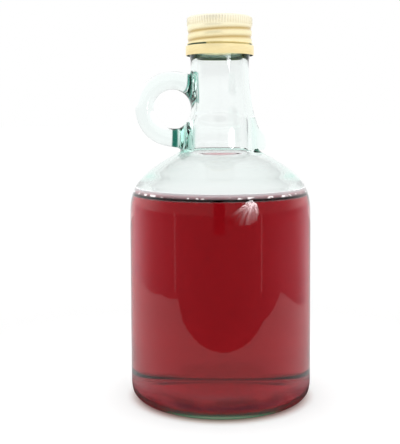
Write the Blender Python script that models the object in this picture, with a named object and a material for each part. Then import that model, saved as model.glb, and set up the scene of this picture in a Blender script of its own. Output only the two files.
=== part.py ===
"""Small jug bottle of clear glass with a ring handle, filled with a red drink and shut by a roll-on cap.

Origin on the table under the middle of the base, +Z up, the handle towards -X. Sizes are in
millimetres; MM turns them into Blender's metres.
"""

import math

import bmesh
import bpy
from mathutils import Vector

MM = 0.001

# Glass, outside
BODY_RADIUS = 43.0
HEEL_RADIUS = 6.5
SHOULDER_START = 89.5
FOOT_RADIUS = 18.2
NECK_RADIUS = 13.7
BEAD_RADIUS = 14.7
FINISH_RADIUS = 14.1
MOUTH_HEIGHT = 179.3
PUNT_DEPTH = 2.6

# Glass, inside
WALL = 3.0
BORE_RADIUS = 11.1
FLOOR_HEIGHT = 2.9
LEAST_NECK_WALL = 2.2

# Handle: a round glass bar bent into a ring that grows out of the neck at two roots
HANDLE_X, HANDLE_Z = -22.5, 137.6
FINGER_HOLE_RADIUS = 9.2
BAR_THICKNESS = 8.6
BAR_FACES = 8
BAR_SECTIONS = 9
FIRST_SECTION, LAST_SECTION = 66.0, 278.0
LOWER_ROOT = (117.5, 122.8, 128.6)
UPPER_ROOT = (142.9, 148.2, 153.5)

# Lug: a small knob on the neck's foot, opposite the handle, whose end hangs a little
LUG_LENGTH = 3.9
LUG_TAPER = 0.66
LUG_DROP = 2.2

# Cage of the glass: few faces, rounded by subdivision
COLUMNS = 20
SMOOTHING = 1

# Drink: a solid up to its surface, which climbs the glass a little at the edge
FILL_HEIGHT = 97.5
MENISCUS = 2.2
GAP = 0.3

# Cap: a knurled crown, a sleeve rolled into the bottle's thread and a band below a slit
CAP_TOP = 181.0
CAP_BOTTOM = 162.7
CAP_COLUMNS = 48
CROWN_RADIUS = 15.5
CROWN_BOTTOM = 176.6
KNURL_DEPTH = 0.3
SLEEVE_RADIUS = 15.25
SLEEVE_BOTTOM = 168.9
SLEEVE_ROWS = 11
BEAD_HEIGHT = 168.3
CAP_BEAD_RADIUS = 15.5
SLIT_HEIGHT = 167.5
SLIT_WIDTH = 0.4
SLIT_DEPTH = 0.7
BAND_RADIUS = 16.15
BORE_OF_CAP = 14.5
BORE_OF_BAND = 15.7

# Thread groove of the cap: a right-handed helix, by its height at +X and its first and last turn
THREAD_PITCH = 3.9
THREAD_HEIGHT = 167.3
THREAD_FIRST, THREAD_LAST = 0.42, 2.12
THREAD_DEPTH = 0.5
THREAD_WIDTH = 0.8


def reach(step):
    """How many times further out a cage's points lie than the circle it is rounded to, at this step."""
    return 3.0 / (2.0 + math.cos(math.radians(step)))


def arc(center, radius, first, last, steps):
    """Cage points of a round stretch of an outline, from one angle to another in degrees."""
    step = (last - first) / steps
    out = radius * reach(step)
    angles = [math.radians(first + step * i) for i in range(steps + 1)]
    return [(center[0] + out * math.cos(a), center[1] + out * math.sin(a)) for a in angles]


def outside():
    """The glass's outer outline, from the middle of the base up to the rim, as (radius, height)."""
    ring = BODY_RADIUS - HEEL_RADIUS
    base = [
        (0.0, PUNT_DEPTH),
        (14.0, PUNT_DEPTH),
        (26.0, 0.5 * PUNT_DEPTH),
        (ring - 4.5, 0.0),
        (ring - 3.0, 0.0),
        (ring - 1.5, 0.0),
        (ring, 0.0),
    ]
    heel = arc((ring, HEEL_RADIUS), HEEL_RADIUS, -60.0, -30.0, 1)
    body = [
        (BODY_RADIUS, HEEL_RADIUS + 0.6),
        (BODY_RADIUS, HEEL_RADIUS + 6.0),
        (BODY_RADIUS, SHOULDER_START - 6.0),
        (BODY_RADIUS, SHOULDER_START),
    ]
    shoulder = [(42.7, 94.6), (41.1, 99.9), (38.0, 104.7), (33.2, 108.9), (27.6, 112.4), (22.8, 114.9)]
    foot = [(19.9, 116.3), (FOOT_RADIUS + 0.2, LOWER_ROOT[0])]
    foot += [(FOOT_RADIUS, z) for z in LOWER_ROOT[1:]]
    flare = [(17.0, 132.6), (15.7, 137.4)]
    neck = [(14.8, UPPER_ROOT[0]), (14.1, UPPER_ROOT[1]), (13.8, UPPER_ROOT[2]), (NECK_RADIUS, 160.8)]
    finish = [
        (BEAD_RADIUS, 163.6),
        (BEAD_RADIUS, 166.2),
        (FINISH_RADIUS, 168.4),
        (FINISH_RADIUS, MOUTH_HEIGHT - 2.0),
        (FINISH_RADIUS - 0.8, MOUTH_HEIGHT),
    ]
    return base + heel + body + shoulder + foot + flare + neck + finish


def inside():
    """The glass's inner outline, from the rim down to the middle of the floor."""
    room = BODY_RADIUS - WALL
    rim = [(BORE_RADIUS + 0.7, MOUTH_HEIGHT), (BORE_RADIUS, MOUTH_HEIGHT - 2.4)]
    neck = [(BORE_RADIUS, 154.0), (11.5, 145.5), (12.7, 138.4), (14.4, 131.8), (15.2, 125.6)]
    corner = [(15.4, 119.0), (15.8, 115.3), (18.3, 112.9)]
    shoulder = [(24.0, 110.6), (31.4, 106.6), (36.9, 102.2), (40.2, 96.0)]
    body = [
        (40.8, SHOULDER_START - 1.0),
        (room + 0.1, SHOULDER_START - 20.0),
        (room, FLOOR_HEIGHT + 11.0),
    ]
    floor = [
        (room - 0.1, FLOOR_HEIGHT + 5.5),
        (room - 0.9, FLOOR_HEIGHT + 1.4),
        (room - 3.9, FLOOR_HEIGHT - 1.0),
        (room - 12.0, FLOOR_HEIGHT - 0.8),
        (19.0, FLOOR_HEIGHT + 1.5),
        (0.0, FLOOR_HEIGHT + 2.3),
    ]
    return rim + neck + corner + shoulder + body + floor


def clear_of_finger_hole(point, wall):
    """Moves a point of the neck to the finger hole's edge, or to a wall's thickness behind it."""
    height = point[2] - HANDLE_Z
    if point[0] > 0.0 or abs(height) >= FINGER_HOLE_RADIUS:
        return point
    edge = HANDLE_X + math.sqrt(FINGER_HOLE_RADIUS**2 - height**2) + wall
    return (max(point[0], edge), point[1], point[2])


def turned(mesh, outline, columns, place, skipped=()):
    """Turns an outline, whose ends lie on the axis, about Z, and returns its rows of vertices.

    place gives a vertex's position from its radius, angle and height. skipped holds the faces to
    leave out, as (row, column).
    """
    angles = [2.0 * math.pi * i / columns for i in range(columns)]
    rows = [[mesh.verts.new(place(r, a, z)) for a in angles] for r, z in outline[1:-1]]
    for i, (low, high) in enumerate(zip(rows, rows[1:])):
        for j in range(columns):
            if (i, j) not in skipped:
                k = (j + 1) % columns
                mesh.faces.new((low[j], low[k], high[k], high[j]))
    for pole, row in ((outline[0], rows[0]), (outline[-1], rows[-1])):
        tip = mesh.verts.new(place(pole[0], 0.0, pole[1]))
        for j in range(columns):
            mesh.faces.new((row[j], row[(j + 1) % columns], tip))
    return rows


def window_faces(levels, middle):
    """The four faces of a window in the neck, two rows high and two columns wide, as (row, column)."""
    return {(row, column) for row in sorted(levels)[:2] for column in ((middle - 1) % COLUMNS, middle)}


def window_ring(rows, levels, middle):
    """The eight vertices round a window, from its first level to its last and back."""
    near, mid, far = levels
    one, two = (middle - 1) % COLUMNS, (middle + 1) % COLUMNS
    across = [rows[near][one], rows[near][middle], rows[near][two], rows[mid][two]]
    back = [rows[far][two], rows[far][middle], rows[far][one], rows[mid][one]]
    return across + back


def add_handle(mesh, upper, lower):
    """Runs the bar round from the neck's upper window to its lower one, as rings of eight vertices.

    Both windows start at the finger hole, as each ring of the bar does.
    """
    step = (LAST_SECTION - FIRST_SECTION) / (BAR_SECTIONS - 1)
    middle = FINGER_HOLE_RADIUS + BAR_THICKNESS / 2.0
    half = BAR_THICKNESS / 2.0 * reach(360.0 / BAR_FACES)
    sections = []
    for i in range(BAR_SECTIONS):
        angle = math.radians(FIRST_SECTION + step * i)
        section = []
        for j in range(BAR_FACES):
            turn = math.radians(135.0 + 45.0 * j)
            out = (middle + half * math.cos(turn)) * reach(step)
            x = HANDLE_X + out * math.cos(angle)
            z = HANDLE_Z + out * math.sin(angle)
            section.append(mesh.verts.new((x * MM, half * math.sin(turn) * MM, z * MM)))
        sections.append(section)
    chain = [upper, *sections, lower]
    for low, high in zip(chain, chain[1:]):
        for j in range(BAR_FACES):
            k = (j + 1) % BAR_FACES
            mesh.faces.new((low[j], low[k], high[k], high[j]))


def add_lug(mesh, window):
    """Closes a window of the neck with a blunt knob that stands out from it."""
    center = sum((v.co for v in window), Vector()) / len(window)
    ends = []
    for vertex in window:
        place = center + (vertex.co - center) * LUG_TAPER
        place.x = center.x + LUG_LENGTH * MM
        place.z -= LUG_DROP * MM
        ends.append(mesh.verts.new(place))
    tip = mesh.verts.new((center.x + LUG_LENGTH * MM, 0.0, center.z - LUG_DROP * MM))
    for j in range(len(window)):
        k = (j + 1) % len(window)
        mesh.faces.new((window[j], window[k], ends[k], ends[j]))
    for j in range(0, len(ends), 2):
        mesh.faces.new((ends[j - 1], ends[j], ends[j + 1], tip))


def finish_object(name, mesh, material, sharp_angle):
    """Turns the faces outwards and puts the mesh into the scene as one smooth-shaded object."""
    bmesh.ops.delete(mesh, geom=[v for v in mesh.verts if not v.link_faces], context="VERTS")
    bmesh.ops.recalc_face_normals(mesh, faces=mesh.faces)
    data = bpy.data.meshes.new(name)
    mesh.to_mesh(data)
    mesh.free()
    data.shade_smooth()
    data.set_sharp_from_angle(angle=math.radians(sharp_angle))
    data.materials.append(material)
    made = bpy.data.objects.new(name, data)
    bpy.context.scene.collection.objects.link(made)
    return made


def add_rounding(made):
    smoothing = made.modifiers.new("Round", "SUBSURF")
    smoothing.levels = SMOOTHING
    smoothing.render_levels = SMOOTHING


def material(name, color, roughness, metallic=0.0, transmission=0.0):
    made = bpy.data.materials.new(name)
    made.use_nodes = True
    shader = made.node_tree.nodes["Principled BSDF"]
    shader.inputs["Base Color"].default_value = (*color, 1.0)
    shader.inputs["Roughness"].default_value = roughness
    shader.inputs["Metallic"].default_value = metallic
    shader.inputs["Transmission Weight"].default_value = transmission
    return made


def build_bottle():
    outer, inner = outside(), inside()
    heights = [z for r, z in outer[1:]]
    upper = [heights.index(z) for z in UPPER_ROOT]
    lower = [heights.index(z) for z in reversed(LOWER_ROOT)]
    widen = reach(360.0 / COLUMNS)
    wall_at = {point: 0.0 for point in outer} | {point: LEAST_NECK_WALL for point in inner}

    def place(radius, angle, height):
        x = radius * widen * math.cos(angle)
        y = radius * widen * math.sin(angle)
        x, y, z = clear_of_finger_hole((x, y, height), wall_at[(radius, height)])
        return (x * MM, y * MM, z * MM)

    behind = COLUMNS // 2
    skipped = window_faces(upper, behind) | window_faces(lower, behind) | window_faces(lower, 0)
    mesh = bmesh.new()
    rows = turned(mesh, outer + inner, COLUMNS, place, skipped)
    add_handle(mesh, window_ring(rows, upper, behind), window_ring(rows, lower, behind))
    add_lug(mesh, window_ring(rows, lower, 0))
    glass = material("glass", (0.86, 0.94, 0.91), 0.03, transmission=1.0)
    add_rounding(finish_object("bottle", mesh, glass, 180.0))



def inset(outline, distance):
    """The outline moved sideways by a distance, to the left of its own direction."""
    moved = []
    for i, (r, z) in enumerate(outline):
        before, after = outline[max(i - 1, 0)], outline[min(i + 1, len(outline) - 1)]
        along_r, along_z = after[0] - before[0], after[1] - before[1]
        length = math.hypot(along_r, along_z)
        moved.append((r - distance * along_z / length, z + distance * along_r / length))
    return moved


def build_drink():
    """Fills the glass from its floor up, with a gap to the wall all round."""
    below = [point for point in inside() if point[1] < FILL_HEIGHT]
    wall = inset(below[::-1], GAP)
    wall[0] = (0.0, wall[0][1])
    tip = FILL_HEIGHT + MENISCUS
    edge = wall[-1][0]
    surface = [
        (edge - 2.3, tip),
        (edge - 4.0, FILL_HEIGHT + 0.3),
        (edge - 8.0, FILL_HEIGHT),
        (edge - 22.0, FILL_HEIGHT),
        (0.0, FILL_HEIGHT),
    ]
    widen = reach(360.0 / COLUMNS)

    def place(radius, angle, height):
        out = radius * widen
        return (out * math.cos(angle) * MM, out * math.sin(angle) * MM, height * MM)

    mesh = bmesh.new()
    turned(mesh, wall + surface, COLUMNS, place)
    red = material("drink", (0.30, 0.01, 0.02), 0.05, transmission=0.5)
    add_rounding(finish_object("drink", mesh, red, 180.0))


def groove_depth(angle, height):
    """How deep the rolled thread lies at a place on the cap's sleeve."""
    depth = 0.0
    for lap in range(math.ceil(THREAD_LAST)):
        turns = lap + angle / (2.0 * math.pi)
        from_end = min(turns - THREAD_FIRST, THREAD_LAST - turns)
        fade = min(max(from_end * 8.0, 0.0), 1.0)
        off = (height - THREAD_HEIGHT - THREAD_PITCH * turns) / THREAD_WIDTH
        depth = max(depth, THREAD_DEPTH * fade * math.exp(-off * off))
    return depth


def build_cap():
    crown = [
        (0.0, CAP_TOP),
        (CROWN_RADIUS - 1.5, CAP_TOP),
        (CROWN_RADIUS - 0.4, CAP_TOP - 0.4),
        (CROWN_RADIUS, CAP_TOP - 1.1),
        (CROWN_RADIUS, CROWN_BOTTOM + 0.4),
    ]
    step = (CROWN_BOTTOM - SLEEVE_BOTTOM) / SLEEVE_ROWS
    sleeve = [(SLEEVE_RADIUS, CROWN_BOTTOM - step * i) for i in range(SLEEVE_ROWS + 1)]
    bead = [(CAP_BEAD_RADIUS, BEAD_HEIGHT + 0.2), (CAP_BEAD_RADIUS, BEAD_HEIGHT - 0.3)]
    slit = [
        (BAND_RADIUS - SLIT_DEPTH - 0.3, SLIT_HEIGHT + SLIT_WIDTH / 2.0),
        (BAND_RADIUS - SLIT_DEPTH, SLIT_HEIGHT - SLIT_WIDTH / 2.0),
    ]
    band = [
        (BAND_RADIUS, SLIT_HEIGHT - SLIT_WIDTH),
        (BAND_RADIUS, CAP_BOTTOM + 0.4),
        (BAND_RADIUS - 0.2, CAP_BOTTOM),
    ]
    bore = [
        (BORE_OF_BAND, CAP_BOTTOM),
        (BORE_OF_BAND, SLIT_HEIGHT - 0.9),
        (BORE_OF_CAP, SLIT_HEIGHT + 0.7),
        (BORE_OF_CAP, MOUTH_HEIGHT + GAP),
        (0.0, MOUTH_HEIGHT + GAP),
    ]
    knurled = {height for radius, height in crown if radius == CROWN_RADIUS}

    def place(radius, angle, height):
        column = round(angle * CAP_COLUMNS / (2.0 * math.pi))
        if height in knurled and column % 2:
            radius -= KNURL_DEPTH
        if radius == SLEEVE_RADIUS:
            radius -= groove_depth(angle, height)
        return (radius * math.cos(angle) * MM, radius * math.sin(angle) * MM, height * MM)

    mesh = bmesh.new()
    turned(mesh, crown + sleeve + bead + slit + band + bore, CAP_COLUMNS, place)
    finish_object("cap", mesh, material("gold_metal", (0.80, 0.62, 0.32), 0.3, metallic=1.0), 35.0)


def main():
    for old in list(bpy.data.objects):
        bpy.data.objects.remove(old)
    build_bottle()
    build_drink()
    build_cap()


main()
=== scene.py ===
"""Looks of the jug bottle: clear glass, red drink and a pale gold roll-on cap, in bright studio light.

Sizes are in millimetres, and MM turns them into metres. The overall width and height come from the
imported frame. The outlines are those of the solids, drawn with more faces.
"""

import math

import bmesh
import bpy
from mathutils import Matrix, Vector


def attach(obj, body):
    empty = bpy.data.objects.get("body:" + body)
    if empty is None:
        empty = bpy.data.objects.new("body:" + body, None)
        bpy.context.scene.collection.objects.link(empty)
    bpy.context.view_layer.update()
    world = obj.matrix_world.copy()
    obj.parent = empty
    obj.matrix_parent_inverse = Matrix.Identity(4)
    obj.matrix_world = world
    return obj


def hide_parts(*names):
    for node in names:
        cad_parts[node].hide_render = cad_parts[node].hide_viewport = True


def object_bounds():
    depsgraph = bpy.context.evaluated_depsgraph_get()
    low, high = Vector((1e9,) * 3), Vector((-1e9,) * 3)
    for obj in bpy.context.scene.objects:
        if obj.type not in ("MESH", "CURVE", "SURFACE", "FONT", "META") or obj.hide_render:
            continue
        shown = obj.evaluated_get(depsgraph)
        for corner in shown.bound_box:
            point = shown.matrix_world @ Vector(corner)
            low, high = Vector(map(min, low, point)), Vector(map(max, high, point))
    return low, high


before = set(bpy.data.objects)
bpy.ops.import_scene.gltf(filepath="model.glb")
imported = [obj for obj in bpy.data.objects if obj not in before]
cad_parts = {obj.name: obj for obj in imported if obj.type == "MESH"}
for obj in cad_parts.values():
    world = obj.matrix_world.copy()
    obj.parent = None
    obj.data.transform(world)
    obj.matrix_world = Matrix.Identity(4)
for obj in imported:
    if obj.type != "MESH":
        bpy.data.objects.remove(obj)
cad_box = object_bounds()

MM = 0.001
WHITE = (1.0, 1.0, 1.0)
BLACK = (0.0, 0.0, 0.0)

# Photograph, in its own pixels, and the camera's sensor
PICTURE_HEIGHT = 444
FOCAL_PIXELS = 837.0
HORIZON_PIXEL = 124.2
SENSOR = 36.0

# Camera, in millimetres from the middle of the base
CAMERA_DISTANCE = 400.0
CAMERA_HEIGHT = 130.3
CAMERA_SIDE = -9.6
CAMERA_SHIFT = -0.11
CAMERA_ROLL = -0.25

# Body and cap fill the frame's box, whose numbers are single precision and so are rounded
BODY_RADIUS = round(cad_box[1][0] / MM, 1)
CAP_TOP = round(cad_box[1][2] / MM, 1)

# Glass, outside
HEEL_RADIUS = 6.5
SHOULDER_START = 89.5
FOOT_RADIUS = 18.2
NECK_RADIUS = 13.7
BEAD_RADIUS = 14.7
FINISH_RADIUS = 14.1
MOUTH_HEIGHT = 179.3
PUNT_DEPTH = 2.6

# Glass, inside
WALL = 3.0
BORE_RADIUS = 11.1
FLOOR_HEIGHT = 2.9
LEAST_NECK_WALL = 2.2

# Handle
HANDLE_X, HANDLE_Z = -22.5, 137.6
FINGER_HOLE_RADIUS = 9.2
BAR_THICKNESS = 8.6
BAR_FACES = 8
FIRST_CORNER = 135.0
BAR_SECTIONS = 9
FIRST_SECTION, LAST_SECTION = 66.0, 278.0
LOWER_ROOT = (118.0, 123.0, 128.6)
UPPER_ROOT = (142.9, 148.2, 153.5)

# Lug
LUG_LENGTH = 3.9
LUG_TAPER = 0.66
LUG_DROP = 2.2

# Cage of the glass
COLUMNS = 20
SMOOTHING = 3

# Drink
FILL_HEIGHT = 97.5
MENISCUS = 2.0
MENISCUS_WIDTH = 2.4
CONTACT_HEIGHT = FILL_HEIGHT + MENISCUS
INTO_WALL = 0.25
OUTLINE_STEPS = 6
INNERMOST = 0.5
SURFACE_RINGS = 24
FIRST_RING = 0.06
RING_GROWTH = 1.32

# Cap
CAP_BOTTOM = 162.7
CROWN_RADIUS = 15.5
CROWN_BOTTOM = 176.6
KNURLS = 72
KNURL_COLUMNS = 4
KNURL_DEPTH = 0.22
SLEEVE_RADIUS = 15.25
SLEEVE_BOTTOM = 168.9
SLEEVE_ROWS = 40
BEAD_HEIGHT = 168.3
CAP_BEAD_RADIUS = 15.5
SLIT_HEIGHT = 167.5
SLIT_WIDTH = 0.4
SLIT_DEPTH = 0.7
BRIDGES = (-26.0, 66.0)
BAND_RADIUS = 16.15
BORE_OF_CAP = 14.5
BORE_OF_BAND = 15.7
THREAD_PITCH = 3.9
THREAD_HEIGHT = 167.3
THREAD_FIRST, THREAD_LAST = 0.42, 2.12
THREAD_RUN_OUT = 0.125
THREAD_DEPTH = 0.5
THREAD_WIDTH = 0.8
SHARP_ANGLE = 40.0

# Marks: on faces where glass and drink touch, and of painted shade in the cap's grooves, in its
# slit and inside
WET = "wet"
GROOVE = "groove"
DARK = "dark"
# How much painted shade lies between the knurls and on the slit's bridges
KNURL_MARK = 0.25
BRIDGE_MARK = 0.25

# Stuffs: how strongly each bends light, its tint, and how densely the tint lies, per metre
GLASS_IOR = 1.52
GLASS_TINT = (0.65, 0.925, 0.85)
GLASS_DENSITY = 28.0
DRINK_IOR = 1.345
DRINK_TINT = (0.797, 0.193, 0.288)
DRINK_DENSITY = 85.0
TOTAL_REFLECTION = 0.97

# Parts of the glass, as upright boxes: (X and Z of the middle, half sizes, softness, tint or index)
# Painted shade: dark green at the handle's roots, partly the thick glass's own green
ROOT_SHADE_TINTS = [
    ((-14.0, 148.0), (1.2, 7.2), 0.5, (0.03, 0.20, 0.15)),
    ((-21.2, 124.0), (1.4, 4.6), 0.4, (0.02, 0.16, 0.12)),
    ((-16.6, 122.6), (2.7, 6.4), 1.2, (0.50, 0.72, 0.66)),
]
CLEAR_PARTS = [
    ((17.5, 125.0), (5.2, 8.5), 1.0, 1.06),
    ((-17.0, 124.5), (4.5, 7.0), 0.8, 1.25),
    ((-31.0, 136.0), (8.5, 18.0), 1.5, 1.36),
]
SHOULDER_BAND = (99.0, 119.0)
SHOULDER_STOPS = [(0.0, BLACK), (0.12, WHITE), (0.35, WHITE), (0.85, BLACK)]
SHOULDER_IOR = 1.3

# Heel and foot of the glass, in painted light and shade: colours by share of the way up,
# and ends along Y of what has a front
HEEL_TOP = HEEL_RADIUS + 2.0
# Painted shade: dark green at the bottom, partly the thick glass's own green, white higher up
HEEL_SHADE_TINTS = [
    (0.0, (0.03, 0.10, 0.07)),
    (0.12, (0.06, 0.14, 0.10)),
    (0.26, (0.30, 0.42, 0.34)),
    (0.42, (0.85, 0.75, 0.75)),
    (0.55, WHITE),
    (1.0, WHITE),
]
# Painted light: the middle of the heel's back is paler
HEEL_BACK = (5.0, 20.0)
HEEL_MIDDLE = ((2.0, 0.0), (12.0, 9.0), 4.0)
HEEL_LIGHT_TINT = (0.75, 0.55, 0.55)
# Painted shade: a dark broken ring on the heel's front
RING_TOP = 14.0
RING_SHADE_TINTS = [(0.30, WHITE), (0.42, (0.36, 0.26, 0.34)), (0.68, (0.32, 0.25, 0.32)), (0.92, WHITE)]
RING_NOISE = (70.0, (1.0, 1.0, 4.0), 2.0)
RING_BREAKS = (0.25, 0.60)
RING_FRONT = (-8.0, -26.0)
# Painted reflection: the foot's reflections are tinted green at the bottom
RIM_TOP = 2.2
RIM_REFLECTION_TINTS = [(0.0, (0.05, 0.75, 0.35)), (0.45, (0.10, 0.80, 0.45)), (1.0, WHITE)]
# Painted light: a green glow on the front of the foot
FOOT_GLOW_TOP = 9.0
FOOT_GLOW = [
    (0.0, (0.015, 0.13, 0.07)),
    (0.20, (0.02, 0.12, 0.07)),
    (0.34, (0.0, 0.02, 0.015)),
    (0.7, (0.0, 0.010, 0.016)),
    (1.0, BLACK),
]
FOOT_FRONT = (-30.0, -37.5)

# The drink's edge, from EDGE_BOTTOM up to the contact line: a grey and black band of painted
# shade, a pale line of painted light, and bubbles whose glints are painted as glowing specks
EDGE_BOTTOM = CONTACT_HEIGHT - 4.0
EDGE_SHADE_TINTS = [
    (0.1, WHITE),
    (0.25, (0.01, 0.01, 0.01)),
    (0.4, (0.02, 0.02, 0.02)),
    (0.55, (0.45, 0.42, 0.43)),
    (0.8, WHITE),
]
EDGE_GLOW = [(0.0, BLACK), (0.42, BLACK), (0.6, (0.14, 0.11, 0.125)), (1.0, (0.41, 0.38, 0.40))]
# The glass lets less light through in the band, so that its painted shade shows
SHUT = (0.15, 0.15, 0.15)
HALF_SHUT = (0.45, 0.45, 0.45)
EDGE_CLEARNESS = [(0.1, WHITE), (0.25, SHUT), (0.4, SHUT), (0.55, HALF_SHUT), (1.0, HALF_SHUT)]
BUBBLE_GLINT_LINE = [(0.0, BLACK), (0.44, BLACK), (0.5, WHITE), (0.64, WHITE), (0.7, BLACK), (1.0, BLACK)]
BUBBLE_GLINT_NOISE = (330.0, (1.0, 1.0, 1.0), 1.0)
BUBBLE_GLINT_SHARES = (0.54, 0.61)

# Lacquered metal of the cap, from its bottom up to its top, paler upwards: painted light from above
PALE_GOLD = [
    (0.0, (0.97, 0.84, 0.48)),
    (0.25, (0.99, 0.88, 0.54)),
    (0.62, (0.99, 0.93, 0.66)),
    (1.0, (1.0, 0.98, 0.86)),
]
DEEP_GOLD = [
    (0.0, (0.90, 0.70, 0.34)),
    (0.25, (0.92, 0.76, 0.40)),
    (0.62, (0.93, 0.82, 0.50)),
    (1.0, (0.96, 0.90, 0.70)),
]
# Painted shade: deeper gold in the grooves and between the knurls, and dark in the slit and inside the
# cap
GROOVE_SHADE_GOLD = (0.58, 0.42, 0.17)
CAP_SHADE = (0.12, 0.19, 0.16)
GOLD_NOISE = (260.0, (1.0, 1.0, 5.0), 3.0)
GOLD_METALLIC = 0.9
GOLD_ROUGHNESS = 0.27
WRINKLE_STRENGTH = 0.12
WRINKLE_DEPTH = 0.2

# World: radiances, and the directions in which they change
WORLD_LIGHT = 1.0
FRONT_LIGHT = 0.26
FRONT_SECTOR = (8.0, 120.0, 75.0)
GLOSS_DIRECTION = (-0.42, -0.90, 0.1)
GLOSS_REACH = (0.7, 0.97)
GLOSS_LIGHTS = (1.1, 0.80)

# Table: its shade and glow by distance from the middle of the base
TABLE_SIZE = 60000.0
SHADE_REACH = (37.0, 45.0)
SHADE_COLORS = [(0.0, (0.45, 0.20, 0.19)), (0.45, (0.72, 0.58, 0.56)), (1.0, (0.95, 0.95, 0.95))]
TABLE_GLOW = 0.30
FAR_GLOW = 0.07
GLOW_REACH = (45.0, 200.0)
SIDE_LIGHT = 0.62
SIDE_SECTOR = (180.0, 52.0, 5.0)
SIDE_REACH = (3500.0, 1300.0)

# What the glass mirrors of the table: a white sheet, by its corners, and dim surroundings
DIM_LIGHTS = (0.75, 0.11)
DIM_SECTOR = (5.0, 140.0, 92.0)
DIM_COLOR = (0.85, 0.92, 1.0)
DIM_SIZE = 50000.0
DIM_HEIGHT = 0.5
SHEET_LIGHT = 0.68
SHEET_HEIGHT = 0.4
SHEET_BACK = 260.0
SHEET = [
    (-290.0, -78.0),
    (-230.0, -183.0),
    (-160.0, -161.0),
    (165.0, -149.0),
    (300.0, -83.0),
    (277.0, -4.5),
    (231.0, 78.0),
    (190.0, 145.0),
    (540.0, 700.0),
    (-600.0, 700.0),
    (-240.0, 261.0),
    (-310.0, 94.0),
]
FOOT_SHADE = 0.03
FOOT_SHADE_REACH = (43.0, 75.0)
FOOT_SHADE_SECTOR = (0.0, 130.0, 95.0)

# Mirrored lights and camera stand, as (azimuth, elevation) in degrees from the bottle's shoulder
LAMP_LIGHT = 32.0
LAMP_COLOR = (0.97, 0.98, 1.0)
LAMP = [
    (7.0, -5.0),
    (20.0, -5.8),
    (32.0, -5.6),
    (39.5, -4.0),
    (42.0, 4.0),
    (41.0, 16.0),
    (36.5, 25.0),
    (30.0, 23.5),
    (21.0, 12.0),
    (11.0, 2.0),
]
LAMP_CORE = (35.5, 17.0)
LAMP_DISTANCE = 200.0
LAMP_REACH = 130.0
LAMP_FALL_OFF = 3.0
STREAK_SCALE = 8.0
STREAK_DETAIL = 3.0
STREAK_SHARES = (0.42, 0.56)
STREAK_DARKEST = 0.15
STAND = [(-9.0, -7.6), (4.0, -7.6), (4.0, 60.0), (-9.0, 60.0)]
STAND_DISTANCE = 400.0
STRIP_LIGHT = 0.8
STRIP_COLOR = (1.0, 0.98, 0.97)
STRIPS = (-55.0, 47.0)
STRIP_WIDTH = 1.2
STRIP_ENDS = (-15.982, 1.0)
STRIP_DISTANCE = 300.0


# Outlines and cages


def reach(step):
    """How many times further out a cage's points lie than the circle it is rounded to, at this step."""
    return 3.0 / (2.0 + math.cos(math.radians(step)))


def arc(center, radius, first, last, steps):
    """Cage points of a round stretch of an outline, from one angle to another in degrees."""
    step = (last - first) / steps
    out = radius * reach(step)
    angles = [math.radians(first + step * i) for i in range(steps + 1)]
    return [(center[0] + out * math.cos(a), center[1] + out * math.sin(a)) for a in angles]


def outside():
    """The glass's outer outline, from the middle of the base up to the rim, as (radius, height)."""
    ring = BODY_RADIUS - HEEL_RADIUS
    base = [
        (0.0, PUNT_DEPTH),
        (14.0, PUNT_DEPTH),
        (26.0, 0.5 * PUNT_DEPTH),
        (ring - 4.5, 0.0),
        (ring - 3.0, 0.0),
        (ring - 1.5, 0.0),
        (ring, 0.0),
    ]
    heel = arc((ring, HEEL_RADIUS), HEEL_RADIUS, -60.0, -30.0, 1)
    body = [
        (BODY_RADIUS, HEEL_RADIUS + 0.6),
        (BODY_RADIUS, HEEL_RADIUS + 6.0),
        (BODY_RADIUS, SHOULDER_START - 6.0),
        (BODY_RADIUS, SHOULDER_START),
    ]
    shoulder = [(42.7, 94.6), (41.1, 99.9), (38.0, 104.7), (33.2, 109.0), (27.6, 112.7), (22.8, 115.4)]
    foot = [(19.9, 116.8), (FOOT_RADIUS + 0.2, LOWER_ROOT[0])]
    foot += [(FOOT_RADIUS, z) for z in LOWER_ROOT[1:]]
    flare = [(17.0, 132.6), (15.7, 137.4)]
    neck = [(14.8, UPPER_ROOT[0]), (14.1, UPPER_ROOT[1]), (13.8, UPPER_ROOT[2]), (NECK_RADIUS, 160.8)]
    finish = [
        (BEAD_RADIUS, 163.6),
        (BEAD_RADIUS, 166.2),
        (FINISH_RADIUS, 168.4),
        (FINISH_RADIUS, MOUTH_HEIGHT - 2.0),
        (FINISH_RADIUS - 0.8, MOUTH_HEIGHT),
    ]
    return base + heel + body + shoulder + foot + flare + neck + finish


def inside():
    """The glass's inner outline, from the rim down to the middle of the floor."""
    room = BODY_RADIUS - WALL
    rim = [(BORE_RADIUS + 0.7, MOUTH_HEIGHT), (BORE_RADIUS, MOUTH_HEIGHT - 2.4)]
    neck = [(BORE_RADIUS, 154.0), (11.5, 145.5), (12.7, 138.4), (14.4, 131.8), (15.2, 125.6)]
    corner = [(15.4, 119.6), (15.7, 116.2), (17.3, 114.0)]
    shoulder = [(21.1, 112.2), (25.7, 109.4), (31.0, 105.9), (35.7, 102.3), (38.9, 98.2), (40.5, 93.4)]
    body = [
        (40.8, SHOULDER_START - 1.0),
        (40.4, SHOULDER_START - 12.0),
        (room, SHOULDER_START - 30.0),
        (room, FLOOR_HEIGHT + 11.0),
    ]
    floor = [
        (room - 0.1, FLOOR_HEIGHT + 5.5),
        (room - 0.9, FLOOR_HEIGHT + 1.4),
        (room - 3.9, FLOOR_HEIGHT - 1.0),
        (room - 12.0, FLOOR_HEIGHT - 0.8),
        (19.0, FLOOR_HEIGHT + 1.5),
        (9.0, FLOOR_HEIGHT + 2.3),
        (0.0, FLOOR_HEIGHT + 2.3),
    ]
    return rim + neck + corner + shoulder + body + floor


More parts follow.
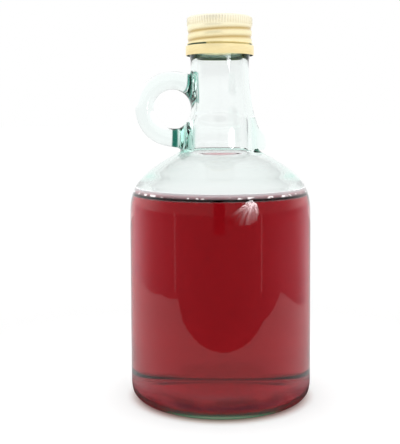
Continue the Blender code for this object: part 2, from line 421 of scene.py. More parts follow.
def clear_of_finger_hole(point, wall):
    """Moves a point of the neck to the finger hole's edge, or to a wall's thickness behind it."""
    height = point[2] - HANDLE_Z
    if point[0] > 0.0 or abs(height) >= FINGER_HOLE_RADIUS:
        return point
    edge = HANDLE_X + math.sqrt(FINGER_HOLE_RADIUS**2 - height**2) + wall
    return (max(point[0], edge), point[1], point[2])


def turned(mesh, outline, columns, place, skipped=()):
    """Turns an outline, whose ends lie on the axis, about Z, and returns its rows of vertices.

    place gives a vertex's position from its radius, angle and height. skipped holds the faces to
    leave out, as (row, column).
    """
    angles = [2.0 * math.pi * i / columns for i in range(columns)]
    rows = [[mesh.verts.new(place(r, a, z)) for a in angles] for r, z in outline[1:-1]]
    for i, (low, high) in enumerate(zip(rows, rows[1:])):
        for j in range(columns):
            if (i, j) not in skipped:
                k = (j + 1) % columns
                mesh.faces.new((low[j], low[k], high[k], high[j]))
    for pole, row in ((outline[0], rows[0]), (outline[-1], rows[-1])):
        tip = mesh.verts.new(place(pole[0], 0.0, pole[1]))
        for j in range(columns):
            mesh.faces.new((row[j], row[(j + 1) % columns], tip))
    return rows


def window_faces(levels, middle):
    """The four faces of a window in the neck, two rows high and two columns wide, as (row, column)."""
    return {(row, column) for row in sorted(levels)[:2] for column in ((middle - 1) % COLUMNS, middle)}


def window_ring(rows, levels, middle):
    """The eight vertices round a window, from its first level to its last and back."""
    near, mid, far = levels
    one, two = (middle - 1) % COLUMNS, (middle + 1) % COLUMNS
    across = [rows[near][one], rows[near][middle], rows[near][two], rows[mid][two]]
    back = [rows[far][two], rows[far][middle], rows[far][one], rows[mid][one]]
    return across + back


def add_handle(mesh, upper, lower):
    """Runs the bar round from the neck's upper window to its lower one, as rings of eight vertices."""
    step = (LAST_SECTION - FIRST_SECTION) / (BAR_SECTIONS - 1)
    middle = FINGER_HOLE_RADIUS + BAR_THICKNESS / 2.0
    half = BAR_THICKNESS / 2.0 * reach(360.0 / BAR_FACES)
    sections = []
    for i in range(BAR_SECTIONS):
        angle = math.radians(FIRST_SECTION + step * i)
        section = []
        for j in range(BAR_FACES):
            turn = math.radians(FIRST_CORNER + 360.0 / BAR_FACES * j)
            out = (middle + half * math.cos(turn)) * reach(step)
            x = HANDLE_X + out * math.cos(angle)
            z = HANDLE_Z + out * math.sin(angle)
            section.append(mesh.verts.new((x * MM, half * math.sin(turn) * MM, z * MM)))
        sections.append(section)
    chain = [upper, *sections, lower]
    for low, high in zip(chain, chain[1:]):
        for j in range(BAR_FACES):
            k = (j + 1) % BAR_FACES
            mesh.faces.new((low[j], low[k], high[k], high[j]))


def add_lug(mesh, window):
    """Closes a window of the neck with a blunt knob that stands out from it."""
    center = sum((v.co for v in window), Vector()) / len(window)
    ends = []
    for vertex in window:
        place = center + (vertex.co - center) * LUG_TAPER
        place.x = center.x + LUG_LENGTH * MM
        place.z -= LUG_DROP * MM
        ends.append(mesh.verts.new(place))
    tip = mesh.verts.new((center.x + LUG_LENGTH * MM, 0.0, center.z - LUG_DROP * MM))
    for j in range(len(window)):
        k = (j + 1) % len(window)
        mesh.faces.new((window[j], window[k], ends[k], ends[j]))
    for j in range(0, len(ends), 2):
        mesh.faces.new((ends[j - 1], ends[j], ends[j + 1], tip))


def finish_piece(name, mesh, material, node, sharp_angle=180.0):
    """Turns the faces outwards and puts the mesh into the scene, in place of a node of the frame.

    Faces of material index 1, where glass and drink touch, get the mark for that instead.
    """
    bmesh.ops.recalc_face_normals(mesh, faces=mesh.faces)
    layer = mesh.faces.layers.float.new(WET)
    for face in mesh.faces:
        face[layer] = float(face.material_index)
        face.material_index = 0
    data = bpy.data.meshes.new(name)
    mesh.to_mesh(data)
    mesh.free()
    data.shade_smooth()
    data.set_sharp_from_angle(angle=math.radians(sharp_angle))
    data.materials.append(material)
    made = bpy.data.objects.new(name, data)
    bpy.context.scene.collection.objects.link(made)
    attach(made, "root")
    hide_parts(node)


def rounded(mesh, levels):
    """The cage with its subdivision applied, as a new bmesh."""
    bmesh.ops.delete(mesh, geom=[v for v in mesh.verts if not v.link_faces], context="VERTS")
    data = bpy.data.meshes.new("cage")
    mesh.to_mesh(data)
    mesh.free()
    cage = bpy.data.objects.new("cage", data)
    bpy.context.scene.collection.objects.link(cage)
    smoothing = cage.modifiers.new("Round", "SUBSURF")
    smoothing.levels = levels
    smoothing.render_levels = levels
    result = bpy.data.meshes.new_from_object(cage.evaluated_get(bpy.context.evaluated_depsgraph_get()))
    bpy.data.objects.remove(cage)
    bpy.data.meshes.remove(data)
    made = bmesh.new()
    made.from_mesh(result)
    bpy.data.meshes.remove(result)
    return made


# Materials


def put(tree, value, socket):
    """Gives a socket a number, a colour or a vector, or links another node's output to it."""
    if isinstance(value, bpy.types.NodeSocket):
        tree.links.new(value, socket)
    elif socket.type == "RGBA":
        socket.default_value = (*value, 1.0)
    else:
        socket.default_value = value


def computed(tree, operation, *values):
    """A sum, product and so on, of numbers or other nodes' outputs."""
    made = tree.nodes.new("ShaderNodeMath")
    made.operation = operation
    for value, socket in zip(values, made.inputs):
        put(tree, value, socket)
    return made.outputs[0]


def vector(tree, operation, *values, result="Vector"):
    """The same for vectors. result names the output: Vector, or Value where it is a number."""
    made = tree.nodes.new("ShaderNodeVectorMath")
    made.operation = operation
    for value, socket in zip(values, made.inputs):
        put(tree, value, socket)
    return made.outputs[result]


def remapped(tree, value, first, last, low=0.0, high=1.0, smooth=False):
    """low up to the first value and high from the last, with an even or a smooth change between."""
    made = tree.nodes.new("ShaderNodeMapRange")
    made.interpolation_type = "SMOOTHSTEP" if smooth else "LINEAR"
    limits = {"From Min": first, "From Max": last, "To Min": low, "To Max": high}
    for name, limit in limits.items():
        made.inputs[name].default_value = limit
    put(tree, value, made.inputs["Value"])
    return made.outputs[0]


def over(tree, length, ends, low=0.0, high=1.0, smooth=False):
    """The same over a length in the scene, with the two ends in millimetres."""
    return remapped(tree, length, ends[0] * MM, ends[1] * MM, low, high, smooth)


def mixed(tree, factor, one, two):
    """A colour between two, each a colour or another node's output."""
    made = tree.nodes.new("ShaderNodeMix")
    made.data_type = "RGBA"
    put(tree, factor, made.inputs["Factor"])
    put(tree, one, made.inputs["A"])
    put(tree, two, made.inputs["B"])
    return made.outputs["Result"]


def blended(tree, factor, one, two):
    """A number between two, each a number or another node's output."""
    made = tree.nodes.new("ShaderNodeMix")
    put(tree, factor, made.inputs["Factor"])
    put(tree, one, made.inputs["A"])
    put(tree, two, made.inputs["B"])
    return made.outputs["Result"]


def object_place(tree):
    """Where a point lies in the object's own space."""
    return tree.nodes.new("ShaderNodeTexCoord").outputs["Object"]


def along(tree, axis, place=None):
    """How far along an axis a point lies, in the object's own space unless its place is given."""
    parts = tree.nodes.new("ShaderNodeSeparateXYZ")
    put(tree, place or object_place(tree), parts.inputs[0])
    return parts.outputs[axis]


def mark(tree, name):
    """A mark that a mesh carries, 0 or 1 or between."""
    made = tree.nodes.new("ShaderNodeAttribute")
    made.attribute_name = name
    return made.outputs["Fac"]


def noise(tree, scale, stretch, detail):
    """A cloudy pattern in the object's own space, stretched by a factor along each axis."""
    mapping = tree.nodes.new("ShaderNodeMapping")
    put(tree, object_place(tree), mapping.inputs["Vector"])
    mapping.inputs["Scale"].default_value = stretch
    cloud = tree.nodes.new("ShaderNodeTexNoise")
    put(tree, mapping.outputs["Vector"], cloud.inputs["Vector"])
    cloud.inputs["Scale"].default_value = scale
    cloud.inputs["Detail"].default_value = detail
    return cloud.outputs["Fac"]


def colored(tree, value, stops):
    """A colour that changes with a value, from stops of (value from 0 to 1, colour)."""
    ramp = tree.nodes.new("ShaderNodeValToRGB")
    elements = ramp.color_ramp.elements
    elements[0].position, elements[0].color = stops[0][0], (*stops[0][1], 1.0)
    elements[1].position, elements[1].color = stops[-1][0], (*stops[-1][1], 1.0)
    for position, color in stops[1:-1]:
        elements.new(position).color = (*color, 1.0)
    put(tree, value, ramp.inputs["Fac"])
    return ramp.outputs["Color"]


def by_height(tree, bottom, top, stops):
    """A colour that changes with height, from stops of (share of the way up, colour)."""
    return colored(tree, over(tree, along(tree, "Z"), (bottom, top)), stops)


def by_depth(tree, ends):
    """0 up to the first of two depths along Y and 1 from the second. In millimetres."""
    return over(tree, along(tree, "Y"), ends, smooth=True)


def in_box(tree, middle, half, soft):
    """1 inside an upright box in the XZ plane and 0 outside it, with soft edges. In millimetres."""
    moved = vector(tree, "SUBTRACT", object_place(tree), (middle[0] * MM, 0.0, middle[1] * MM))
    size = vector(tree, "ABSOLUTE", moved)
    shares = []
    for axis, out in zip("XZ", half):
        shares.append(over(tree, along(tree, axis, size), (out + soft, out - soft), smooth=True))
    return computed(tree, "MULTIPLY", *shares)


def new_material(name):
    """A material, its node tree and its Principled BSDF."""
    made = bpy.data.materials.new(name)
    made.use_nodes = True
    return made, made.node_tree, made.node_tree.nodes["Principled BSDF"]


def clear_material(name, ior, absorbed, density):
    """A clear, smooth stuff, tinted by how far light goes through it. absorbed is the tint's colour.

    Where glass and drink touch, at the faces marked wet, hardly any light is mirrored unless all is.
    Also returned are that mark and the share of light that such a face mirrors.
    """
    made, tree, shader = new_material(name)
    shader.inputs["Base Color"].default_value = (*WHITE, 1.0)
    shader.inputs["Roughness"].default_value = 0.0
    shader.inputs["IOR"].default_value = ior
    shader.inputs["Transmission Weight"].default_value = 1.0
    volume = tree.nodes.new("ShaderNodeVolumeAbsorption")
    volume.inputs["Color"].default_value = (*absorbed, 1.0)
    volume.inputs["Density"].default_value = density
    put(tree, volume.outputs[0], tree.nodes["Material Output"].inputs["Volume"])
    fresnel = tree.nodes.new("ShaderNodeFresnel")
    fresnel.inputs["IOR"].default_value = ior
    total = computed(tree, "GREATER_THAN", fresnel.outputs[0], TOTAL_REFLECTION)
    wet = mark(tree, WET)
    mirrored = blended(tree, wet, 1.0, total)
    put(tree, mirrored, shader.inputs["Specular Tint"])
    return made, tree, shader, wet, mirrored


def drink_material():
    """The clear red drink."""
    return clear_material("red drink", DRINK_IOR, DRINK_TINT, DRINK_DENSITY)[0]


def dry_tint_and_shade(tree):
    """The glass's colour away from the drink, in painted shade and light.

    Painted shade is dark green at the foot and the handle's roots, partly the thick glass's own green.
    At the back of the heel painted light makes it paler in the middle, and a dark broken ring of
    painted shade lies on its front.
    """
    tint = by_height(tree, 0.0, HEEL_TOP, HEEL_SHADE_TINTS)
    # Painted light: the middle of the heel's back is paler
    paler = computed(tree, "MULTIPLY", by_depth(tree, HEEL_BACK), in_box(tree, *HEEL_MIDDLE))
    tint = mixed(tree, paler, tint, HEEL_LIGHT_TINT)
    # Painted shade: a dark broken ring on the heel's front
    ring = by_height(tree, 0.0, RING_TOP, RING_SHADE_TINTS)
    unbroken = remapped(tree, noise(tree, *RING_NOISE), *RING_BREAKS, smooth=True)
    shown = computed(tree, "MULTIPLY", unbroken, by_depth(tree, RING_FRONT))
    tint = vector(tree, "MULTIPLY", tint, mixed(tree, shown, WHITE, ring))
    # Painted shade: dark green at the handle's roots, partly the thick glass's own green
    for middle, half, soft, color in ROOT_SHADE_TINTS:
        tint = mixed(tree, in_box(tree, middle, half, soft), tint, color)
    return tint


def edge_glow(tree):
    """The pale line of painted light along the drink's edge, with its bubbles' glints painted as glowing
    specks.
    """
    line = by_height(tree, EDGE_BOTTOM, CONTACT_HEIGHT, EDGE_GLOW)
    speck = remapped(tree, noise(tree, *BUBBLE_GLINT_NOISE), *BUBBLE_GLINT_SHARES)
    bubble_glints = tree.nodes.new("ShaderNodeVectorMath")
    bubble_glints.operation = "SCALE"
    put(tree, by_height(tree, EDGE_BOTTOM, CONTACT_HEIGHT, BUBBLE_GLINT_LINE), bubble_glints.inputs[0])
    put(tree, speck, bubble_glints.inputs["Scale"])
    return vector(tree, "MAXIMUM", line, bubble_glints.outputs[0])


def glass_index(tree):
    """The glass's index of refraction, lower where the photograph shows it clear and unshaded."""
    shoulder = by_height(tree, *SHOULDER_BAND, SHOULDER_STOPS)
    index = blended(tree, shoulder, GLASS_IOR, SHOULDER_IOR)
    for middle, half, soft, value in CLEAR_PARTS:
        index = blended(tree, in_box(tree, middle, half, soft), index, value)
    return index


def glass_material():
    """The bottle's glass. At the contact line it shows the grey and black band of the drink's edge,
    in painted shade under a pale line of painted light. The foot and the handle's roots have
    painted shade, and the foot a painted green reflection and glow.
    """
    made, tree, shader, wet, mirrored = clear_material("glass", GLASS_IOR, GLASS_TINT, GLASS_DENSITY)
    # Painted shade: the grey and black band at the contact line
    edge = by_height(tree, EDGE_BOTTOM, CONTACT_HEIGHT, EDGE_SHADE_TINTS)
    put(tree, mixed(tree, wet, dry_tint_and_shade(tree), edge), shader.inputs["Base Color"])
    # Painted reflection: green reflections at the bottom of the foot
    rim = by_height(tree, 0.0, RIM_TOP, RIM_REFLECTION_TINTS)
    put(tree, mixed(tree, wet, rim, mirrored), shader.inputs["Specular Tint"])
    # Painted light: a green glow on the front of the foot
    foot = by_height(tree, 0.0, FOOT_GLOW_TOP, FOOT_GLOW)
    foot = mixed(tree, by_depth(tree, FOOT_FRONT), BLACK, foot)
    # Painted light: the foot's green glow, and the pale line and bubble glints at the drink's edge
    put(tree, mixed(tree, wet, foot, edge_glow(tree)), shader.inputs["Emission Color"])
    shader.inputs["Emission Strength"].default_value = 1.0
    put(tree, glass_index(tree), shader.inputs["IOR"])
    # Less light goes through the band of painted shade
    through = by_height(tree, EDGE_BOTTOM, CONTACT_HEIGHT, EDGE_CLEARNESS)
    put(tree, mixed(tree, wet, WHITE, through), shader.inputs["Transmission Weight"])
    return made


def cap_material():
    """Pale gold lacquer on rolled metal, paler upwards in painted light, with painted shade: deeper in
    the grooves, dark in the slit and inside.
    """
    made, tree, shader = new_material("gold lacquered metal")
    cloud = noise(tree, *GOLD_NOISE)
    # Painted light: both golds are paler upwards
    pale = by_height(tree, CAP_BOTTOM, CAP_TOP, PALE_GOLD)
    deep = by_height(tree, CAP_BOTTOM, CAP_TOP, DEEP_GOLD)
    gold = mixed(tree, cloud, pale, deep)
    # Painted shade: deeper gold in the grooves and between the knurls
    gold = mixed(tree, mark(tree, GROOVE), gold, GROOVE_SHADE_GOLD)
    # Painted shade: dark in the slit and inside the cap
    gold = mixed(tree, mark(tree, DARK), gold, CAP_SHADE)
    put(tree, gold, shader.inputs["Base Color"])
    shader.inputs["Metallic"].default_value = GOLD_METALLIC
    shader.inputs["Roughness"].default_value = GOLD_ROUGHNESS
    bump = tree.nodes.new("ShaderNodeBump")
    bump.inputs["Strength"].default_value = WRINKLE_STRENGTH
    bump.inputs["Distance"].default_value = WRINKLE_DEPTH * MM
    put(tree, cloud, bump.inputs["Height"])
    put(tree, bump.outputs[0], shader.inputs["Normal"])
    return made


# Pieces


def build_bottle():
    """The glass, with its handle and lug grown out of windows that are left open in the neck."""
    outer, inner = outside(), inside()
    heights = [z for r, z in outer[1:]]
    upper = [heights.index(z) for z in UPPER_ROOT]
    lower = [heights.index(z) for z in reversed(LOWER_ROOT)]
    widen = reach(360.0 / COLUMNS)
    wall_at = {point: 0.0 for point in outer} | {point: LEAST_NECK_WALL for point in inner}

    def place(radius, angle, height):
        x = radius * widen * math.cos(angle)
        y = radius * widen * math.sin(angle)
        x, y, z = clear_of_finger_hole((x, y, height), wall_at[(radius, height)])
        return (x * MM, y * MM, z * MM)

    behind = COLUMNS // 2
    skipped = window_faces(upper, behind) | window_faces(lower, behind) | window_faces(lower, 0)
    mesh = bmesh.new()
    rows = turned(mesh, outer + inner, COLUMNS, place, skipped)
    cavity = {v for row in rows[len(outer) - 1 :] for v in row} | {mesh.verts[:][-1]}
    for face in mesh.faces:
        face.material_index = int(cavity.issuperset(face.verts))
    add_handle(mesh, window_ring(rows, upper, behind), window_ring(rows, lower, behind))
    add_lug(mesh, window_ring(rows, lower, 0))
    mesh = rounded(mesh, SMOOTHING)
    wet = Vector((0.0, 0.0, CONTACT_HEIGHT * MM))
    walls = [face for face in mesh.faces if face.material_index]
    edges = {edge for face in walls for edge in face.edges}
    points = {vertex for face in walls for vertex in face.verts}
    bmesh.ops.bisect_plane(mesh, geom=[*walls, *edges, *points], plane_co=wet, plane_no=(0.0, 0.0, 1.0))
    for face in mesh.faces:
        face.material_index = int(face.material_index and face.calc_center_median().z < wet.z)
    finish_piece("glass", mesh, glass_material(), "bottle")


def smooth_outline(points, steps):
    """The curve that subdivision rounds an outline to, as a list of (radius, height)."""
    curve = []
    for i in range(1, len(points) - 2):
        nearest = [Vector(points[i + j]) for j in (-1, 0, 1, 2)]
        for k in range(steps):
            t = k / steps
            weights = (
                (1.0 - t) ** 3 / 6.0,
                (3.0 * t**3 - 6.0 * t**2 + 4.0) / 6.0,
                (-3.0 * t**3 + 3.0 * t**2 + 3.0 * t + 1.0) / 6.0,
                t**3 / 6.0,
            )
            curve.append(tuple(sum((p * w for p, w in zip(nearest, weights)), Vector((0.0, 0.0)))))
    return curve


def inset(outline, distance):
    """The outline moved sideways by a distance, to the left of its own direction."""
    moved = []
    for i, (r, z) in enumerate(outline):
        before, after = outline[max(i - 1, 0)], outline[min(i + 1, len(outline) - 1)]
        along_r, along_z = after[0] - before[0], after[1] - before[1]
        length = math.hypot(along_r, along_z)
        moved.append((r - distance * along_z / length, z + distance * along_r / length))
    return moved


def build_drink():
    """Fills the glass from its floor up, reaching a little into the wall so that no air shows."""
    wall = smooth_outline(inside()[::-1], OUTLINE_STEPS)
    wall = [(0.0, wall[0][1])] + [(r, z) for r, z in wall if r > INNERMOST and z < CONTACT_HEIGHT]
    wall = inset(wall, -INTO_WALL)
    wall[0] = (0.0, wall[0][1])
    edge = wall[-1][0]
    surface = []
    for i in range(SURFACE_RINGS):
        away = FIRST_RING * RING_GROWTH**i
        if away > edge:
            break
        surface.append((edge - away, FILL_HEIGHT + MENISCUS * math.exp(-away / MENISCUS_WIDTH)))
    surface.append((0.0, FILL_HEIGHT))
    columns = COLUMNS * 2**SMOOTHING

    def place(radius, angle, height):
        return (radius * math.cos(angle) * MM, radius * math.sin(angle) * MM, height * MM)

    mesh = bmesh.new()
    rows = turned(mesh, wall + surface, columns, place)
    top = {v for row in rows[len(wall) - 2 :] for v in row} | {mesh.verts[:][-1]}
    for face in mesh.faces:
        face.material_index = int(not top.issuperset(face.verts))
    finish_piece("red_drink", mesh, drink_material(), "drink")


def groove_depth(angle, height):
    """How deep the rolled thread lies at a place on the cap's sleeve."""
    depth = 0.0
    for lap in range(math.ceil(THREAD_LAST)):
        turns = lap + angle / (2.0 * math.pi)
        from_end = min(turns - THREAD_FIRST, THREAD_LAST - turns)
        fade = min(max(from_end / THREAD_RUN_OUT, 0.0), 1.0)
        off = (height - THREAD_HEIGHT - THREAD_PITCH * turns) / THREAD_WIDTH
        depth = max(depth, THREAD_DEPTH * fade * math.exp(-off * off))
    return depth


def build_cap():
    """The roll-on cap: knurled crown, sleeve with the rolled thread, slit and tamper band."""
    crown = [
        (0.0, CAP_TOP),
        (CROWN_RADIUS - 1.5, CAP_TOP),
        (CROWN_RADIUS - 0.8, CAP_TOP - 0.1),
        (CROWN_RADIUS - 0.4, CAP_TOP - 0.35),
        (CROWN_RADIUS - 0.15, CAP_TOP - 0.7),
        (CROWN_RADIUS, CAP_TOP - 1.1),
        (CROWN_RADIUS, CROWN_BOTTOM + 0.4),
    ]
    step = (CROWN_BOTTOM - SLEEVE_BOTTOM) / SLEEVE_ROWS
    sleeve = [(SLEEVE_RADIUS, CROWN_BOTTOM - step * i) for i in range(SLEEVE_ROWS + 1)]
    bead = [(CAP_BEAD_RADIUS, BEAD_HEIGHT + 0.2), (CAP_BEAD_RADIUS, BEAD_HEIGHT - 0.3)]
    slit = [
        (BAND_RADIUS - SLIT_DEPTH - 0.3, SLIT_HEIGHT + SLIT_WIDTH / 2.0),
        (BAND_RADIUS - SLIT_DEPTH, SLIT_HEIGHT - SLIT_WIDTH / 2.0),
    ]
    band = [
        (BAND_RADIUS, SLIT_HEIGHT - SLIT_WIDTH),
        (BAND_RADIUS, CAP_BOTTOM + 0.4),
        (BAND_RADIUS - 0.2, CAP_BOTTOM),
    ]
    bore = [
        (BORE_OF_BAND, CAP_BOTTOM),
        (BORE_OF_BAND, SLIT_HEIGHT - 0.9),
        (BORE_OF_CAP, SLIT_HEIGHT + 0.7),
        (BORE_OF_CAP, MOUTH_HEIGHT + 0.3),
        (0.0, MOUTH_HEIGHT + 0.3),
    ]
    knurled = {height for radius, height in crown if radius == CROWN_RADIUS}
    columns = KNURLS * KNURL_COLUMNS

    def place(radius, angle, height):
        if height in knurled:
            radius -= KNURL_DEPTH * (0.5 - 0.5 * math.cos(KNURLS * angle))
        if radius == SLEEVE_RADIUS:
            radius -= groove_depth(angle, height)
        return (radius * math.cos(angle) * MM, radius * math.sin(angle) * MM, height * MM)

    def in_groove(radius, angle, height):
        if CROWN_BOTTOM < height < CAP_TOP - 1.0:
            return KNURL_MARK * min(max((CROWN_RADIUS - radius) / KNURL_DEPTH, 0.0), 1.0)
        if SLEEVE_BOTTOM <= height <= CROWN_BOTTOM:
            return min(groove_depth(angle, height) / THREAD_DEPTH, 1.0)
        return 0.0

    mesh = bmesh.new()
    groove = mesh.verts.layers.float.new(GROOVE)
    dark = mesh.verts.layers.float.new(DARK)
    turned(mesh, crown + sleeve + bead + slit + band + bore, columns, place)
    for vertex in mesh.verts:
        x, y, height = vertex.co / MM
        radius, angle = math.hypot(x, y), math.atan2(y, x) % (2.0 * math.pi)
        # Painted shade in the thread's groove and between the knurls
        vertex[groove] = in_groove(radius, angle, height)
        # Painted shade: dark in the slit and inside the cap, and a little dark on the slit's bridges
        in_slit = abs(height - SLIT_HEIGHT) < SLIT_WIDTH and radius < BAND_RADIUS - 0.1
        inside_cap = radius < BORE_OF_BAND + 0.01 and height < SLIT_HEIGHT - SLIT_WIDTH
        turn = math.degrees(math.atan2(x, -y))
        bridged = BRIDGES[0] < turn < BRIDGES[1]
        fully_shaded = inside_cap or in_slit and not bridged
        vertex[dark] = float(fully_shaded) + BRIDGE_MARK * float(in_slit and bridged)
    finish_piece("gold_cap", mesh, cap_material(), "cap", SHARP_ANGLE)


# Studio


def ray_is(tree, *kinds):
    """1 for a ray that is of both kinds, or of the one kind, and 0 for any other ray."""
    path = tree.nodes.new("ShaderNodeLightPath")
    outputs = [path.outputs[f"Is {kind} Ray"] for kind in kinds]
    return computed(tree, "MULTIPLY", *outputs) if len(outputs) > 1 else outputs[0]


def dimmed(tree, direction, lights, sector):
    """A light's strength: the first all round, fading to the second in a sector.

    sector holds the azimuth of its middle, as around() counts it, and how far from it in degrees the
    fading starts and ends.
    """
    flat = vector(tree, "MULTIPLY", direction, (1.0, 1.0, 0.0))
    unit = vector(tree, "NORMALIZE", flat)
    middle = math.radians(sector[0])
    axis = (math.sin(middle), -math.cos(middle), 0.0)
    toward = vector(tree, "DOT_PRODUCT", unit, axis, result="Value")
    ends = [math.cos(math.radians(angle)) for angle in sector[1:]]
    return remapped(tree, toward, *ends, *lights, smooth=True)


def empty_material(name):
    """A material with nothing in it but its output."""
    made = bpy.data.materials.new(name)
    made.use_nodes = True
    tree = made.node_tree
    tree.nodes.clear()
    return made, tree, tree.nodes.new("ShaderNodeOutputMaterial")


def reflected_material(name, color, strength):
    """A light that only sharp reflections show. strength is a number, or a function that makes nodes."""
    made, tree, output = empty_material(name)
    light = tree.nodes.new("ShaderNodeEmission")
    light.inputs["Color"].default_value = (*color, 1.0)
    put(tree, strength(tree) if callable(strength) else strength, light.inputs["Strength"])
    clear = tree.nodes.new("ShaderNodeBsdfTransparent")
    mix = tree.nodes.new("ShaderNodeMixShader")
    put(tree, ray_is(tree, "Glossy", "Singular"), mix.inputs["Fac"])
    tree.links.new(clear.outputs[0], mix.inputs[1])
    tree.links.new(light.outputs[0], mix.inputs[2])
    tree.links.new(mix.outputs[0], output.inputs["Surface"])
    return made


def polygon(name, corners, material):
    """A flat face of the stage, from its corners in millimetres."""
    data = bpy.data.meshes.new(name)
    data.from_pydata([Vector(corner) * MM for corner in corners], [], [tuple(range(len(corners)))])
    data.materials.append(material)
    made = bpy.data.objects.new(name, data)
    bpy.context.scene.collection.objects.link(made)
    return made


def only_in_reflections(made):
    """Hides an object of the stage from every ray but mirrored ones."""
    made.visible_camera = False
    made.visible_diffuse = False
    made.visible_shadow = False
    made.visible_transmission = False
    made.visible_volume_scatter = False


def build_floor():
    """A white table that glows a little, pink in the bottle's shade.

    Glass shows more light from its far sides than the table has elsewhere.
    """
    made, tree, output = empty_material("white table")
    place = object_place(tree)
    away = vector(tree, "LENGTH", place, result="Value")
    color = colored(tree, over(tree, away, SHADE_REACH), SHADE_COLORS)
    matt = tree.nodes.new("ShaderNodeBsdfDiffuse")
    put(tree, color, matt.inputs["Color"])
    near = over(tree, away, GLOW_REACH, TABLE_GLOW, FAR_GLOW, smooth=True)
    sides = dimmed(tree, place, (SIDE_LIGHT, 0.0), SIDE_SECTOR)
    through = computed(tree, "MULTIPLY", ray_is(tree, "Transmission"), sides)
    through = computed(tree, "MULTIPLY", through, over(tree, away, SIDE_REACH))
    glow = tree.nodes.new("ShaderNodeEmission")
    put(tree, color, glow.inputs["Color"])
    put(tree, computed(tree, "ADD", near, through), glow.inputs["Strength"])
    both = tree.nodes.new("ShaderNodeAddShader")
    tree.links.new(matt.outputs[0], both.inputs[0])
    tree.links.new(glow.outputs[0], both.inputs[1])
    tree.links.new(both.outputs[0], output.inputs["Surface"])
    signs = [(-1.0, -1.0), (1.0, -1.0), (1.0, 1.0), (-1.0, 1.0)]
    polygon("floor", [(x * TABLE_SIZE, y * TABLE_SIZE, 0.0) for x, y in signs], made)


def dim_light(tree):
    """The dim surroundings' light, weaker still before the bottle."""
    return dimmed(tree, object_place(tree), DIM_LIGHTS, DIM_SECTOR)


def sheet_light(tree):
    """The sheet's light, which fades towards the bottle's foot, except behind it."""
    place = object_place(tree)
    away = vector(tree, "LENGTH", place, result="Value")
    shade = over(tree, away, FOOT_SHADE_REACH, FOOT_SHADE, SHEET_LIGHT, smooth=True)
    behind = dimmed(tree, place, (SHEET_LIGHT, 0.0), FOOT_SHADE_SECTOR)
    return computed(tree, "MAXIMUM", shade, behind)


def build_reflected_floor():
    """What the glass mirrors of the table: a white sheet, and dim surroundings beyond its edges."""
    dim = reflected_material("dim surroundings", DIM_COLOR, dim_light)
    count = len(SHEET)
    for i in range(count):
        a, b = Vector(SHEET[i]), Vector(SHEET[(i + 1) % count])
        if min(a.y, b.y) >= SHEET_BACK:
            continue
        a_far, b_far = a.normalized() * DIM_SIZE, b.normalized() * DIM_SIZE
        corners = [(*corner, DIM_HEIGHT) for corner in (a, b, b_far, a_far)]
        only_in_reflections(polygon(f"dim_floor_{i}", corners, dim))
    sheet = reflected_material("mirrored sheet", WHITE, sheet_light)
    only_in_reflections(polygon("mirrored_sheet", [(*corner, SHEET_HEIGHT) for corner in SHEET], sheet))


def around(azimuth, elevation, distance):
    """A point seen from the bottle's shoulder, by its angles in degrees: azimuth 0 is towards -Y."""
    a, e = math.radians(azimuth), math.radians(elevation)
    out = distance * math.cos(e)
    return (out * math.sin(a), -out * math.cos(a), SHOULDER_START + distance * math.sin(e))


def lamp_light(tree):
    """The lamp's light, which fades away from its core in streaks that fan out from there."""
    core = Vector(around(*LAMP_CORE, LAMP_DISTANCE)) * MM
    moved = vector(tree, "SUBTRACT", object_place(tree), core)
    away = vector(tree, "LENGTH", moved, result="Value")
    near = computed(tree, "POWER", over(tree, away, (LAMP_REACH, 0.0)), LAMP_FALL_OFF)
    side = math.radians(LAMP_CORE[0])
    across = vector(tree, "DOT_PRODUCT", moved, (math.cos(side), math.sin(side), 0.0), result="Value")
    turn = computed(tree, "ARCTAN2", across, along(tree, "Z", moved))
    ray = tree.nodes.new("ShaderNodeCombineXYZ")
    put(tree, turn, ray.inputs["X"])
    cloud = tree.nodes.new("ShaderNodeTexNoise")
    cloud.inputs["Scale"].default_value = STREAK_SCALE
    cloud.inputs["Detail"].default_value = STREAK_DETAIL
    put(tree, ray.outputs[0], cloud.inputs["Vector"])
    streak = remapped(tree, cloud.outputs["Fac"], *STREAK_SHARES, STREAK_DARKEST)
    return computed(tree, "MULTIPLY", computed(tree, "MULTIPLY", near, LAMP_LIGHT), streak)


def build_reflected_lights():
    """A lamp, the dark camera on its stand and two bright strips, which only the glass mirrors."""
    lamp = reflected_material("lamp", LAMP_COLOR, lamp_light)
    corners = [around(a, e, LAMP_DISTANCE) for a, e in LAMP]
    only_in_reflections(polygon("lamp", corners, lamp))
    black = reflected_material("camera stand", BLACK, 0.0)
    corners = [around(a, e, STAND_DISTANCE) for a, e in STAND]
    only_in_reflections(polygon("camera_stand", corners, black))
    strip = reflected_material("strips", STRIP_COLOR, STRIP_LIGHT)
    for i, azimuth in enumerate(STRIPS):
        left, right = azimuth - STRIP_WIDTH / 2.0, azimuth + STRIP_WIDTH / 2.0
        low, high = STRIP_ENDS
        angles = [(left, low), (right, low), (right, high), (left, high)]
        corners = [around(a, e, STRIP_DISTANCE) for a, e in angles]
        only_in_reflections(polygon(f"strip_{i}", corners, strip))


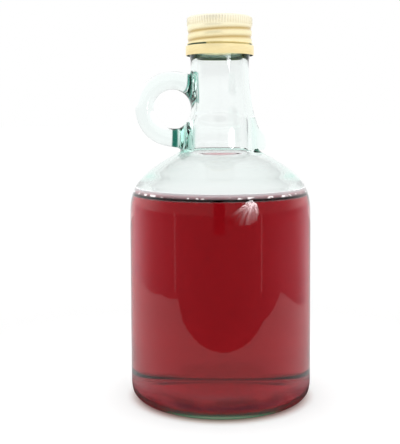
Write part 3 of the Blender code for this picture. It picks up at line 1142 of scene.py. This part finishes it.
def build_world():
    """Bright all round. In sharp reflections the side before the bottle is dim."""
    world = bpy.data.worlds.new("studio")
    bpy.context.scene.world = world
    world.use_nodes = True
    tree = world.node_tree
    background = tree.nodes["Background"]
    background.inputs["Color"].default_value = (*WHITE, 1.0)
    direction = tree.nodes.new("ShaderNodeTexCoord").outputs["Generated"]
    front = dimmed(tree, direction, (WORLD_LIGHT, FRONT_LIGHT), FRONT_SECTOR)
    toward = vector(tree, "DOT_PRODUCT", direction, GLOSS_DIRECTION, result="Value")
    gloss = remapped(tree, toward, *GLOSS_REACH, *GLOSS_LIGHTS, smooth=True)
    soft = blended(tree, ray_is(tree, "Glossy"), WORLD_LIGHT, gloss)
    light = blended(tree, ray_is(tree, "Glossy", "Singular"), soft, front)
    put(tree, light, background.inputs["Strength"])


def build_camera():
    """The photograph's camera, by the height of the horizon in the picture."""
    data = bpy.data.cameras.new("camera")
    data.sensor_fit = "AUTO"
    data.sensor_width = SENSOR
    data.lens = FOCAL_PIXELS * SENSOR / PICTURE_HEIGHT
    data.shift_y = CAMERA_SHIFT
    below_middle = PICTURE_HEIGHT / 2.0 - HORIZON_PIXEL + CAMERA_SHIFT * PICTURE_HEIGHT
    pitch = math.atan(below_middle / FOCAL_PIXELS)
    made = bpy.data.objects.new("camera", data)
    bpy.context.scene.collection.objects.link(made)
    place = Vector((CAMERA_SIDE, -CAMERA_DISTANCE, CAMERA_HEIGHT)) * MM
    tilt = Matrix.Rotation(math.radians(90.0) - pitch, 4, "X")
    roll = Matrix.Rotation(math.radians(CAMERA_ROLL), 4, "Z")
    made.matrix_world = Matrix.Translation(place) @ tilt @ roll
    bpy.context.scene.camera = made


def set_light_paths():
    """Plain colours, and enough bounces for light that goes through both walls and the drink."""
    scene = bpy.context.scene
    scene.view_settings.view_transform = "Standard"
    cycles = scene.cycles
    cycles.max_bounces = 24
    cycles.transmission_bounces = 20
    cycles.glossy_bounces = 10
    cycles.diffuse_bounces = 4
    cycles.caustics_refractive = True
    cycles.caustics_reflective = True
    cycles.use_denoising = True


build_camera()
build_bottle()
build_drink()
build_cap()
build_floor()
build_reflected_floor()
build_reflected_lights()
build_world()
set_light_paths()
